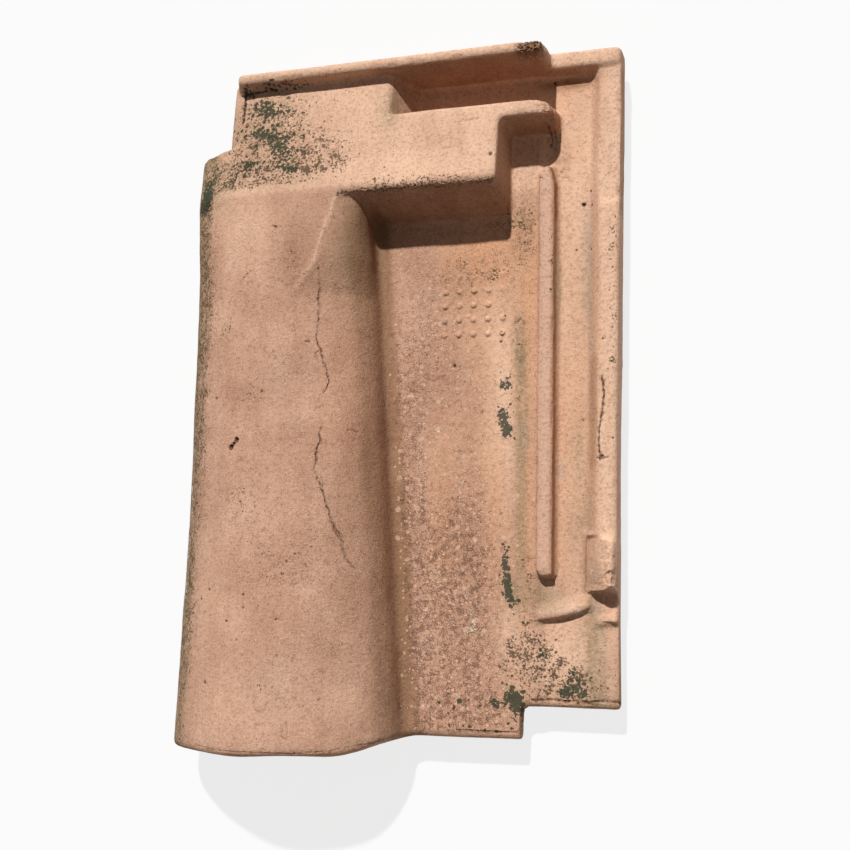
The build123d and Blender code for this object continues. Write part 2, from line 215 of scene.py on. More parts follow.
# Single features. A pair is the stretch over which a feature sets in or ends, or the stretch that it covers.
RIM_END_X, RIM_STOPS_X, RIM_END_Y, RIM_END_Z = (229, 238), (253, 259), (441, 445), (44, 54)
ARM_END_X, ARM_Y, ARM_Z = (240, 250), (398, 424), (30, 44)
DROOP, DROOP_X, DROOP_LENGTH, DROOP_TURN = 7.0, 241, 12, 2.5
LUMP_X, LUMP_FOOT_Z = (275, 300), (24, 28)
LUMP_TOP_X, LUMP_TOP_Y, LUMP_TOP_Z = (281, 300), (99, 128), (31, 34)
HOLLOW_X, HOLLOW_Y, HOLLOW_RADIUS = 290.5, 110.5, 4.2
SLOPE, SLOPE_X, SLOPE_Y, SLOPE_FOOT_X, SLOPE_FOOT_Z = 0.94, (273, 290), (97, 137), 275.0, 24.6
SHOULDER_CHIP, CHIP_DEPTH = (13, 361, 5.0, 5.0), 4.0
BLOCK_X, BLOCK_EDGE_Y, BLOCK_TOP_Z = (112, 222), (359.5, 363.5), (56, 59)
MOSS_HEIGHT = 0.5


def crease_at(places):
    """How strongly each place lies on the crease."""
    strong = np.exp(-(to_line(places, CREASE) / 1.3) ** 2)
    weak = np.exp(-(to_line(places, CREASE_LOW) / 1.6) ** 2)
    return strong + 0.6 * weak


def applied(mesh, name, kind, points=(), **settings):
    """The mesh as one modifier leaves it, limited to the given points if there are any."""
    holder = add_object(name, mesh)
    if len(points):
        holder.vertex_groups.new(name="chosen").add([int(i) for i in points], 1.0, "REPLACE")
        settings["vertex_group"] = "chosen"
    modifier = holder.modifiers.new(name, kind)
    for key, value in settings.items():
        setattr(modifier, key, value)
    made = bpy.data.meshes.new_from_object(holder.evaluated_get(bpy.context.evaluated_depsgraph_get()))
    bpy.data.objects.remove(holder)
    return made


def even_body():
    """The CAD tile remeshed evenly, coarser below, so that its edges can wear and its faces can wave."""
    bm = bmesh.new()
    bm.from_mesh(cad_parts["roof_tile"].data)
    bmesh.ops.remove_doubles(bm, verts=bm.verts, dist=MERGE)
    mesh = bpy.data.meshes.new("merged_body")
    bm.to_mesh(mesh)
    bm.free()
    even = applied(mesh, "even_faces", "REMESH", mode="VOXEL", voxel_size=VOXEL, adaptivity=0.0)
    places, normals = read_places(even)
    below = np.flatnonzero(upper(places, normals) < 0.5)
    ratio = 1.0 - THINNED_BELOW * len(below) / len(places)
    return applied(even, "fewer_below", "DECIMATE", points=below, ratio=ratio)


def small_marks(places):
    """Where the marks are small: at pips, cracks, pits and broken places."""
    x, y = places[:, 0], places[:, 1]
    fine = (abs(x - PIP_X) < PIP_PATCH - 1) & (abs(y - PIP_Y) < PIP_PATCH - 1)
    for line, half, depth in CRACKS:
        fine |= to_line(places, line) < half + 1.0
    for pit_x, pit_y, radius, depth in PITS:
        fine |= np.hypot(x - pit_x, y - pit_y) < radius + 1.2
    for low_x, high_x, low_y, high_y in ROUGH:
        fine |= (between(x, low_x, high_x, 0.1) * between(y, low_y, high_y, 0.1)) > 0.5
    return fine


def refine(mesh):
    """Evens out the voxels' steps and cuts the faces finer where the marks are small."""
    places, normals = read_places(mesh)
    fine = small_marks(places) & (upper(places, normals) > 0.5)
    bm = bmesh.new()
    bm.from_mesh(mesh)
    bmesh.ops.smooth_vert(bm, verts=bm.verts, factor=0.5, use_axis_x=True, use_axis_y=True, use_axis_z=True)
    edges = [e for e in bm.edges if fine[e.verts[0].index] and fine[e.verts[1].index]]
    bmesh.ops.subdivide_edges(bm, edges=edges, cuts=2, use_grid_fill=True)
    bm.to_mesh(mesh)
    bm.free()


def outer_edges(mesh, places, normals):
    """1 on outer edges, where a place stands out from its neighbours, and 0 on flat faces."""
    ends = np.empty(len(mesh.edges) * 2, dtype=np.int32)
    mesh.edges.foreach_get("vertices", ends)
    first, second = ends[0::2], ends[1::2]
    around, count = np.zeros_like(places), np.zeros(len(places))
    for here, there in ((first, second), (second, first)):
        np.add.at(around, here, places[there])
        np.add.at(count, here, 1)
    proud = ((places - around / count[:, None]) * normals).sum(1)
    return step(proud, EDGE_STARTS, EDGE_FULL)


def cut_depth(places, middle, grain, tiny):
    """Depth of the cracks and pits at each place."""
    x, y = places[:, 0], places[:, 1]
    shake = np.stack((0.7 * grain + 0.4 * tiny, 0.5 * middle, np.zeros(len(places))), 1)
    ragged = (0.45 + 0.55 * step(tiny - 0.4 * grain, -0.35, 0.25)) * (0.6 + 0.4 * step(middle, -0.4, 0.2))
    cut = np.zeros(len(places))
    for line, half, depth in CRACKS:
        away = to_line(places + shake, line)
        cut = np.maximum(cut, depth * ragged * (1 - step(away, half * 0.2, half * 0.8 + 0.3)))
    for pit_x, pit_y, radius, depth in PITS:
        away = np.hypot(x - pit_x, y - pit_y) + 0.3 * grain
        cut = np.maximum(cut, depth * (1 - step(away, radius * 0.4, radius + 0.3)))
    return cut


def pip_shapes(x, y):
    """The grid of pips, up to 1 on a whole pip and less on those worn down in its last row and column."""
    pips = np.zeros(len(x))
    last = PIPS_ALONG - 1
    for i in range(PIPS_ALONG):
        for j in range(PIPS_ALONG):
            away = np.hypot(x - PIP_X - PIP_STEP * (i - last / 2), y - PIP_Y - PIP_STEP * (j - last / 2))
            worn = 0.7 + 0.3 * math.sin(i * 1.9 + j * 2.3) ** 2
            if j == last or (i == last and j > 1):
                worn *= 0.35
            pips = np.maximum(pips, worn * (1 - step(away, PIP_TOP_RADIUS, PIP_FOOT_RADIUS)))
    return pips


def add_moves(mesh, moves):
    """Moves a mesh's points, each by its own move in millimetres."""
    spots = np.empty(len(moves) * 3, dtype=np.float32)
    mesh.vertices.foreach_get("co", spots)
    mesh.vertices.foreach_set("co", spots + moves.astype(np.float32).ravel() / 1000)
    mesh.update()


def keep_masks(mesh, name, first, second, third):
    """Three masks from 0 to 1, kept as one colour attribute of a mesh's points."""
    kept = np.stack((first, second, third, np.ones(len(first))), 1)
    layer = mesh.attributes.new(name, "FLOAT_COLOR", "POINT")
    layer.data.foreach_set("color", kept.astype(np.float32).ravel())


def shape_body(mesh):
    """Waves of the pressed clay, worn edges, broken ends, the pips, cracks, pits and chips."""
    refine(mesh)
    places, normals = read_places(mesh)
    x, y, z = places.T
    top = upper(places, normals)
    edge = outer_edges(mesh, places, normals)
    coarse, middle, grain, tiny = (lumps(places, size, seed) for size, seed in LUMPS)

    # worn outer edges: the more a place stands out from its neighbours, the more of it is gone
    crumbs = step(middle + 0.5 * grain, 0.05, 0.6)
    lift = WAVE * coarse + RIPPLE * middle + ROUGHNESS * grain * top
    lift -= edge * (0.05 + 0.8 * crumbs)
    # broken right end of the head rim, and the arm's rough end
    rim_end = step(x, *RIM_END_X) * step(y, *RIM_END_Y) * step(z, *RIM_END_Z) * (1 - step(x, *RIM_STOPS_X))
    lift -= rim_end * (0.5 + 1.8 * step(grain + 0.8 * tiny, -0.3, 0.5))
    arm_end = step(x, *ARM_END_X) * between(y, *ARM_Y, 3) * step(z, *ARM_Z)
    lift -= arm_end * (0.3 + 0.9 * step(grain + 0.6 * tiny, -0.2, 0.5))
    # crumbled lower end and side of the lump on the lock's rim, with a round hollow in it
    lump_end = between(x, *LUMP_X, 2) * (1 - step(y, 103, 112)) * step(y, 96, 100) * step(z, *LUMP_FOOT_Z)
    lift -= lump_end * (0.4 + 1.0 * step(middle + 0.5 * grain, -0.3, 0.5))
    lump = between(x, *LUMP_TOP_X, 2) * between(y, *LUMP_TOP_Y, 3) * step(z, *LUMP_TOP_Z)
    hollow = between(np.hypot((x - HOLLOW_X) / 1.1, y - HOLLOW_Y), 0, HOLLOW_RADIUS, 0.6)
    lift += lump * 0.35 * (grain + tiny) - hollow * lump
    # chip at the roll's left shoulder
    lift -= CHIP_DEPTH * oval(places, *SHOULDER_CHIP) * top * (0.7 + 0.5 * grain + 0.3 * tiny)
    # crease where the roll turns into its right facet
    lift += top * crease_at(places)
    # crumbs along the block's front edge
    front = between(x, *BLOCK_X, 3) * between(y, *BLOCK_EDGE_Y, 1.2) * step(z, *BLOCK_TOP_Z)
    lift -= front * 0.9 * step(tiny + 0.4 * grain, 0.1, 0.7)
    # growth stands a little proud
    lift += top * MOSS_HEIGHT * np.clip(ovals(places, MOSS), 0, 1) * step(grain, 0.0, 0.5)
    cut = cut_depth(places, middle, grain, tiny)
    lift -= cut * top
    moves = normals * lift[:, None]

    # the patch of the pips is levelled, then each pip stands on it
    patch = between(x, PIP_X - PIP_PATCH, PIP_X + PIP_PATCH, 1)
    patch *= between(y, PIP_Y - PIP_PATCH, PIP_Y + PIP_PATCH, 1) * top * (z > PAN_TOP - 1.5)
    moves[:, 2] += patch * (PAN_TOP - z) + PIP_HEIGHT * pip_shapes(x, y) * patch
    # the arm's end droops
    droop = np.clip((x - DROOP_X) / DROOP_LENGTH, 0, 1) * between(y, 400, 430, 5) * step(z, 30, 46)
    moves[:, 2] -= DROOP * droop ** 2
    moves[:, 1] += DROOP_TURN * droop ** 2 * (1 - step(y, 404, 412))
    # the lump falls off along its left side
    slope = between(x, *SLOPE_X, 0.5) * between(y, *SLOPE_Y, 1.5) * step(normals[:, 2], -0.2, 0.2)
    moves[:, 2] -= slope * np.clip(z - SLOPE_FOOT_Z - SLOPE * (x - SLOPE_FOOT_X), 0, 14)
    # a lip hangs over at each ledge of the lock
    for left, right, left_y, tilt, bend, height in LEDGES:
        along = np.clip((x - left) / (right - left), 0, 1)
        off = y - (left_y + tilt * (x - left) + bend * along ** 3)
        lens = np.sin(math.pi * along ** 1.4) ** 0.7 * (z < 29) * top
        lip = step(off, -0.8, 0.3) * (1 - step(off, 1.0, 8.0)) - 0.15 * between(off, -3.5, -0.6, 0.6)
        moves[:, 2] += lens * height * lip
    # the rib's lower end is cut straight across
    end = RIB_END + np.clip(x - RIB_X - 3.5, 0, 8)
    rib_low = between(x, RIB_X - 1, RIB_X + 13, 0.3) * (z > RIB_FOOT_Z) * step(y, 106, 108)
    moves[:, 1] -= rib_low * (end - RIB_END) * (1 - np.clip((y - end) / 25, 0, 1))

    add_moves(mesh, moves)
    keep_masks(mesh, "wear", np.clip(cut / 0.7, 0, 1) * top, np.clip(edge * crumbs, 0, 1) * top, rim_end)
    faces = sum(len(p.vertices) - 2 for p in mesh.polygons)
    mesh = applied(mesh, "fewer_faces", "DECIMATE", ratio=min(1.0, MOST_FACES / faces))
    mesh.shade_smooth()
    mesh.set_sharp_from_angle(angle=SHARP_ANGLE)
    return mesh


# where stains, growth, fired colours, painted shade and painted highlights lie: x, y, rx, ry, strength

MOSS = [(45, 437, 9, 6, 1.0), (56, 436, 5, 5, 0.7), (47, 426, 11, 5, 1.0), (61, 428, 8, 7, 1.0),
        (69, 429, 6, 5, 0.6), (50, 414, 12, 5, 1.0), (60, 409, 9, 7, 0.8), (72, 405, 8, 6, 0.8),
        (64, 398, 8, 6, 0.7), (74, 394, 8, 6, 0.8), (82, 399, 8, 7, 0.6), (46, 392, 10, 4, 0.8),
        (72, 384, 8, 4, 0.9), (80, 382, 6, 3, 0.8), (58, 385, 12, 4, 0.7), (30, 383, 16, 5, 0.7),
        (15, 379, 8, 6, 0.8), (12, 366, 5, 7, 0.9), (92, 420, 4, 4, 0.4), (221, 236, 2.8, 4, 1.6),
        (219, 213, 4.6, 10, 2.2), (222, 204, 3, 5, 1.4), (225, 229, 1.6, 5, 0.9), (221.5, 121, 3.2, 8, 1.5),
        (223, 110, 3.2, 9, 1.7), (225, 101, 3.2, 6, 1.4), (222, 130, 2.4, 4, 1.1), (228, 92, 3.4, 7, 0.9),
        (222, 52, 3.5, 4, 0.9), (228, 38, 7, 6, 1.8), (231, 30, 5, 7, 1.2), (216, 33, 6, 4, 0.9),
        (262, 52, 5, 5, 0.6), (268, 43, 7, 5, 1.2), (273, 38, 6, 4, 0.9), (238, 60, 5, 4, 0.5),
        (252, 40, 9, 3, 0.7), (228, 22, 7, 3, 0.8), (186, 34, 8, 5, 0.5), (195, 20, 14, 3, 0.5),
        (216, 16, 8, 3, 0.6), (229, 279, 2.6, 3, 1.2), (225, 268, 1.5, 7, 0.9), (14, 370, 7, 6, 1.2),
        (10, 362, 5, 6, 1.4), (62, 447, 24, 1.6, 1.0), (38, 445, 4, 3, 0.9), (138, 418, 2, 10, 0.35),
        (9, 340, 4, 14, 0.6), (219, 236, 4, 4, 0.9), (247, 64, 5, 4, 0.8), (267, 50, 4, 7, 0.7),
        (259, 41, 5, 4, 0.8)]
SPECKS = [(62, 405, 34, 36, 0.52), (230, 262, 4, 14, 0.6), (231, 214, 4, 36, 0.35), (88, 390, 30, 16, 0.8),
          (104, 388, 26, 16, 0.55), (30, 378, 26, 10, 0.9), (96, 425, 26, 18, 0.35), (10, 350, 8, 22, 0.7),
          (19, 300, 9, 60, 0.55), (20, 190, 10, 90, 0.5), (22, 60, 10, 60, 0.45), (250, 56, 24, 16, 1.0),
          (238, 74, 14, 12, 0.7), (265, 46, 22, 10, 0.9), (234, 340, 8, 24, 0.7), (222, 345, 10, 16, 0.6),
          (212, 310, 22, 12, 0.5), (186, 312, 20, 14, 0.4), (160, 366, 30, 4, 0.7), (195, 366, 26, 3, 0.5),
          (140, 370, 20, 6, 0.5), (150, 250, 8, 70, 0.25), (82, 320, 14, 30, 0.5), (52, 306, 6, 14, 0.6),
          (38, 272, 5, 10, 0.6), (84, 247, 10, 8, 0.5), (62, 227, 8, 8, 0.5), (60, 158, 14, 12, 0.45),
          (88, 110, 22, 18, 0.45), (62, 130, 16, 20, 0.3), (246, 370, 6, 16, 0.5), (258, 380, 8, 12, 0.4),
          (291, 350, 4, 60, 0.5), (291, 240, 4, 80, 0.5), (275, 215, 12, 12, 0.3), (90, 40, 30, 20, 0.3),
          (110, 130, 20, 20, 0.3), (225, 60, 12, 14, 0.6), (236, 105, 6, 30, 0.6), (146, 402, 14, 20, 0.35),
          (251, 300, 1.6, 60, 0.6)]
GRIME = [(196, 62, 32, 46, 1.0), (192, 120, 30, 36, 0.8), (180, 96, 18, 60, 0.6), (200, 165, 26, 30, 0.55),
         (180, 230, 26, 40, 0.45), (170, 280, 20, 40, 0.55), (160, 60, 8, 60, 0.9), (156, 140, 8, 50, 0.7),
         (148, 230, 8, 60, 0.6), (210, 28, 24, 12, 0.8), (176, 30, 14, 20, 0.7), (205, 220, 16, 30, 0.35),
         (160, 200, 8, 90, 0.5), (164, 90, 6, 90, 0.6)]
FILM = [(229.5, 258, 5, 26, 0.9), (231, 215, 5, 40, 0.7), (232.5, 160, 5, 40, 0.7), (233, 120, 5, 24, 0.5),
        (254.6, 298, 1.8, 26, 1.1), (228, 102, 6, 9, 0.8), (60, 425, 34, 24, 0.2), (20, 372, 20, 10, 0.6),
        (232, 345, 8, 26, 0.5), (146, 420, 9, 16, 0.7), (122, 330, 12, 30, 0.45), (277, 60, 7, 40, 0.8),
        (284, 36, 10, 22, 0.5), (268, 196, 5, 20, 0.35), (245, 100, 12, 12, 0.7), (272, 300, 4, 34, 0.5),
        (266, 150, 8, 30, 0.3), (118, 310, 10, 20, 0.3), (272, 150, 5, 50, 0.35)]
LIME = [(8, 195, 6, 36, 0.5), (8, 140, 6, 30, 0.55), (8, 90, 6, 30, 0.5), (8, 20, 6, 20, 0.5),
        (8, 250, 5, 20, 0.35), (233, 199.5, 3.0, 6, 0.5), (257, 180, 3.0, 6, 0.5), (268, 90.5, 7, 2.5, 1.1),
        (229.8, 411.7, 2.0, 1.4, 1.8), (272, 140, 2.5, 16, 0.5), (150, 330, 3, 14, 0.4),
        (189, 158, 14, 30, 0.3), (196, 96, 18, 18, 0.35), (198, 78, 12, 8, 0.35), (174, 206, 3, 6, 0.4),
        (276, 112, 3, 12, 0.5)]
GREY = [(257, 180, 3, 7, 0.9), (233, 199.5, 3, 6, 0.8), (250, 91, 14, 2.5, 0.6), (275, 296, 2.5, 42, 0.9),
        (277, 240, 2.0, 30, 0.5), (273, 330, 3, 24, 0.6), (279.5, 98, 3.0, 26, 0.9),
        (281.4, 43.5, 5, 30, 0.8), (256, 97, 12, 6, 0.6), (80, 240, 14, 12, 0.35), (92, 45, 16, 14, 0.35),
        (232, 205, 3, 8, 0.7), (192, 240, 8, 12, 0.2), (268, 150, 4, 60, 0.3)]
# Brown stains; the spot at (260, 439) is painted shade in the recess under the lock head's front.
BROWN_AND_SHADE = [(251, 409, 6, 8, 0.45), (278, 216, 3.5, 36, 0.25), (182, 396, 14, 12, 0.35),
         (88, 345, 14, 14, 0.25), (260, 439, 20, 4.0, 1.3), (120, 322, 14, 26, 0.35),
         (84, 318, 14, 30, 0.45), (196, 130, 26, 40, 0.3), (190, 312, 24, 16, 0.35),
         (180, 250, 24, 40, 0.3), (255, 388, 8, 14, 0.4), (60, 228, 16, 10, 0.2), (252, 94, 14, 4, 0.3),
         (128, 168, 12, 60, 0.25), (90, 70, 26, 30, 0.12), (276, 90, 4, 50, 0.15)]
# Pale clay; the spots at (140, 453) and (270, 453) are painted highlights along the tops of the head rim and
# the lock head.
CREAM_AND_HIGHLIGHT = [(288, 200, 9, 60, 0.7), (270, 453, 32, 6, 1.0), (262, 92.5, 16, 3, 0.9), (140, 453, 110, 5, 0.8),
         (205, 262, 24, 34, 0.45), (212, 200, 8, 60, 0.4), (290, 330, 8, 90, 0.8), (290, 400, 9, 50, 0.6),
         (282, 450, 30, 7, 0.8), (265, 330, 10, 70, 0.5), (236, 60, 12, 20, 0.6), (160, 376, 62, 9, 0.9),
         (200, 400, 50, 30, 0.45), (110, 425, 50, 30, 0.3), (223, 195, 6, 60, 0.6), (217, 250, 8, 60, 0.5),
         (224, 78, 8, 24, 0.8), (262, 66, 22, 18, 0.6), (196, 12, 40, 6, 0.3), (60, 345, 40, 26, 0.35),
         (42, 330, 12, 40, 0.4), (60, 30, 60, 26, 0.25), (50, 90, 24, 60, 0.2), (136, 34, 10, 12, 0.45),
         (288, 130, 8, 16, 0.7), (176, 112, 6, 8, 0.5), (176, 74, 5, 6, 0.4), (268, 410, 20, 30, 0.4),
         (266, 380, 12, 30, 0.3)]
RUST = [(215, 320, 22, 24, 0.6), (236, 300, 6, 60, 0.5), (213, 180, 8, 70, 0.7), (176, 150, 12, 50, 0.45),
        (281, 285, 4, 60, 0.7), (257, 424, 7, 15, 1.1), (262, 392, 12, 14, 0.8), (215, 265, 22, 30, 0.5),
        (262, 200, 12, 60, 0.35), (152, 180, 10, 90, 0.3), (236, 150, 6, 70, 0.5), (200, 330, 40, 16, 0.4),
        (210, 440, 30, 12, 0.6), (120, 230, 14, 50, 0.25)]
# The line along which the roll's right facet starts.
FACET = [(87.1, 296), (93.5, 302.8), (101.8, 317.5), (106.1, 329.7), (108.9, 342), (113.4, 362)]


def valley_x(y):
    """The line where the roll meets the pan."""
    return 165.0 - 0.092 * y


def stain_body(mesh):
    """Masks of growth, fired colour, wear, painted shade and painted highlights, kept on the mesh for the
    clay's material.
    """
    places, normals = read_places(mesh)
    x, y, z = places.T
    top = upper(places, normals)
    level = step(normals[:, 2], 0.2, 0.7)
    side = lumps(places, 9.0, 2.0)
    worn = np.empty(len(places) * 4, dtype=np.float32)
    mesh.attributes["wear"].data.foreach_get("color", worn)
    mark, crumbs, rim_end = worn.reshape(-1, 4).astype(float)[:, :3].T
    mesh.attributes.remove(mesh.attributes["wear"])

    # the head: its block's front edge, the rim's left corner, the stained belt, and what is clean below it
    front = between(x, *BLOCK_X, 3) * between(y, 359.5, 364.5, 1.2) * step(z, *BLOCK_TOP_Z)
    corner = 1 - step(to_line(places, [(37, 423), (37.2, 444.6), (82, 445.2)]), 0.3, 1.8)
    corner = corner * (z < 52) * top
    belt = between(y, 372, 392, 1.5) * (1 - step(x, 78, 112))
    belt += 0.7 * between(y, 388, 440, 6) * (1 - step(x, 66, 96))
    below_head = (1 - step(y, 369.5, 371.5)) * step(y, 335, 350) * (1 - step(x, 106, 112)) * step(x, 17, 22)
    head = step(y, 364, 368) * level * (1 - step(x, 244, 252))
    # painted shade on the steep walls of the head, the block's riser among them
    wall_shade = top * (1 - level) * step(x, 128, 140) * step(y, 340, 350)
    # the roll: its left flank, painted shade in the valley on its right and on its right facet, and a
    # painted highlight along the crease
    flank = (1 - step(x + 4 * side, 12, 27)) * top
    from_valley = x - valley_x(y)
    # painted shade down the roll's right side into the valley, stronger towards the foot
    valley_shade = step(from_valley, -19, -12) * (0.5 + 0.5 * step(from_valley, -10, -1))
    valley_shade *= (1 - step(from_valley, 1, 7)) * (1.1 - 0.25 * step(y, 120, 240)) * top * (1 - step(y, 350, 362))
    # painted shade on the roll's right facet, from the crease to the valley
    facet_shade = step(x - np.interp(y, [b for a, b in FACET], [a for a, b in FACET]), -0.5, 1.5)
    facet_shade *= step(y, 250, 322) * (1 - step(y, 360, 362)) * (1 - step(from_valley, 0, 3))
    # a pale line along the crease is a painted highlight
    crease = top * crease_at(places)
    # the pan and the lock: the pips with a painted highlight, the rib and painted shade on its right side,
    # the channel, and a stain on the rim
    # pale pips, a painted highlight on their tops
    nearest = [np.mod(v + 2.5 * PIP_STEP, PIP_STEP) - PIP_STEP / 2 for v in (x - PIP_X, y - PIP_Y)]
    pips = (1 - step(np.hypot(*nearest), 1.2, 2.4)) * between(x, PIP_X - 22, PIP_X + 18, 0.5)
    pips *= between(y, PIP_Y - 22, PIP_Y + 14, 0.5)
    rib = between(x, RIB_X + 1, RIB_X + 9, 1.0) * (z > 28) * between(y, 110, 385, 3)
    # painted shade on the rib's right side
    rib_side_shade = between(x, RIB_X + 3, RIB_X + 16, 1.0) * step(normals[:, 0], 0.2, 0.6)
    rib_side_shade *= between(y, 108, 385, 3) * top
    lock = step(x, 243, 249) * level
    pan = step(x, 166, 180) * (1 - step(x, 236, 244)) * level * (1 - step(y, 350, 360))
    orange = between(x + 0.8 * side, 275, 281.5, 0.6) * between(y, 178, 252, 3) * top

    moss = ovals(places, MOSS) * (1 + 0.35 * belt) * (1 - below_head) + 1.1 * corner
    # painted shade in the valley also adds specks and film
    specks_and_shade = ovals(places, SPECKS) * (1 - 0.85 * below_head) + 0.55 * belt + 0.8 * flank + 0.3 * valley_shade
    film_and_shade = ovals(places, FILM) * top + 1.2 * flank + 0.3 * front + 0.3 * belt + 0.28 * valley_shade
    # Brown is stain and fired colour, and painted shade in the valley, on the right facet, on the head's
    # steep walls and on the rib's right side; it is also darker in the hollows and below.
    brown_and_shade = ovals(places, BROWN_AND_SHADE) * top + 0.35 * orange + 1.05 * valley_shade + 0.32 * facet_shade + 0.55 * wall_shade
    brown_and_shade += 0.5 * rib_side_shade + 0.35 * (1 - top) + 0.8 * rim_end
    # Cream is pale clay, and painted highlight on the pips and along the crease.
    cream_and_highlight = ovals(places, CREAM_AND_HIGHLIGHT) * top + 0.45 * pips + 0.4 * lock + 0.5 * head + 0.25 * rib + 0.7 * crease
    rust = ovals(places, RUST) * top + 0.8 * orange + 0.3 * lock + 0.3 * pan
    lime = ovals(places, LIME)
    grime = np.clip(ovals(places, GRIME), 0, 1) * level * step(from_valley + 3 * side, -10, 5)
    grey = ovals(places, GREY)
    mark = mark + 0.6 * rim_end * (z > 55)
    moss = np.clip(moss, 0, 2.0) / 2.0 * top
    specks_and_shade = np.clip(specks_and_shade * top + 0.5 * front, 0, 1)
    film_and_shade, brown_and_shade, cream_and_highlight, rust, mark = (np.clip(m, 0, 1) for m in (film_and_shade, brown_and_shade, cream_and_highlight, rust, mark))
    keep_masks(mesh, "growth", moss, specks_and_shade, film_and_shade)
    keep_masks(mesh, "fired_tone_and_painted_light", brown_and_shade, cream_and_highlight, rust)
    keep_masks(mesh, "wear", mark, np.clip(lime, 0, 1) * top, grime)
    keep_masks(mesh, "edges", crumbs, rib, np.clip(grey, 0, 1) * top)


# node helpers

def put(tree, kind, values=None, **settings):
    """Adds a node; values go to its inputs by name or number, as numbers or as links."""
    made = tree.nodes.new(kind)
    for key, value in settings.items():
        setattr(made, key, value)
    for key, value in (values or {}).items():
        if isinstance(value, bpy.types.NodeSocket):
            tree.links.new(value, made.inputs[key])
        else:
            made.inputs[key].default_value = value
    return made


def calc(tree, operation, a, b):
    return put(tree, "ShaderNodeMath", {0: a, 1: b}, operation=operation).outputs[0]


def times(tree, a, b):
    return calc(tree, "MULTIPLY", a, b)


def plus(tree, a, b):
    return calc(tree, "ADD", a, b)


def tint(tree, factor, a, b, mode="MIX"):
    return put(tree, "ShaderNodeMix", {0: factor, 6: a, 7: b}, data_type="RGBA", blend_type=mode).outputs[2]


def ramp(tree, value, low, high, to_low=0.0, to_high=1.0):
    return put(tree, "ShaderNodeMapRange", {0: value, 1: low, 2: high, 3: to_low, 4: to_high}).outputs[0]


def clouds(tree, vector, scale, detail, roughness=0.5):
    values = {"Vector": vector, "Scale": scale, "Detail": detail, "Roughness": roughness}
    return put(tree, "ShaderNodeTexNoise", values).outputs["Fac"]


def new_group(name, **inputs):
    """A node group with the given inputs and their defaults, and one output, Mask."""
    tree = bpy.data.node_groups.new(name, "ShaderNodeTree")
    tree.interface.new_socket("Vector", in_out="INPUT", socket_type="NodeSocketVector")
    for label, default in inputs.items():
        socket = tree.interface.new_socket(label, in_out="INPUT", socket_type="NodeSocketFloat")
        socket.default_value = default
    tree.interface.new_socket("Mask", in_out="OUTPUT", socket_type="NodeSocketFloat")
    return tree, tree.nodes.new("NodeGroupInput").outputs, tree.nodes.new("NodeGroupOutput").inputs["Mask"]


def speckle_group():
    """Grains that cover more of the surface as Cover grows from 0 to 1."""
    tree, given, mask = new_group("speckle", Size=1.0, Cover=0.5, Edge=0.05)
    per_metre = calc(tree, "DIVIDE", 1000.0, given["Size"])
    coarse = clouds(tree, given["Vector"], times(tree, per_metre, 0.22), 1.0)
    fine = clouds(tree, given["Vector"], per_metre, 2.0, 0.6)
    both = plus(tree, times(tree, coarse, 0.35), times(tree, fine, 0.65))
    limit = ramp(tree, given["Cover"], 0.0, 1.0, 0.68, 0.38)
    grains = ramp(tree, both, limit, plus(tree, limit, given["Edge"]))
    tree.links.new(times(tree, grains, ramp(tree, given["Cover"], 0.0, 0.08)), mask)
    return tree


def dots_group():
    """Uneven round dots, one to a cell, that show in the given share of the cells."""
    tree, given, mask = new_group("dots", Spacing=8.0, Share=0.3, Radius=0.1)
    per_metre = calc(tree, "DIVIDE", 1000.0, given["Spacing"])
    shake = calc(tree, "SUBTRACT", clouds(tree, given["Vector"], times(tree, per_metre, 2.0), 1.0), 0.5)
    cells = put(tree, "ShaderNodeTexVoronoi", {"Vector": given["Vector"], "Scale": per_metre}).outputs
    chance = put(tree, "ShaderNodeSeparateColor", {0: cells["Color"]}).outputs
    radius = times(tree, given["Radius"], ramp(tree, chance[1], 0.0, 1.0, 0.5, 1.3))
    away = plus(tree, cells["Distance"], times(tree, shake, times(tree, given["Radius"], 1.6)))
    inside = ramp(tree, away, radius, times(tree, radius, 0.7))
    tree.links.new(times(tree, inside, calc(tree, "LESS_THAN", chance[0], given["Share"])), mask)
    return tree


def bare_material(name):
    material = bpy.data.materials.new(name)
    material.use_nodes = True
    material.node_tree.nodes.clear()
    return material, material.node_tree


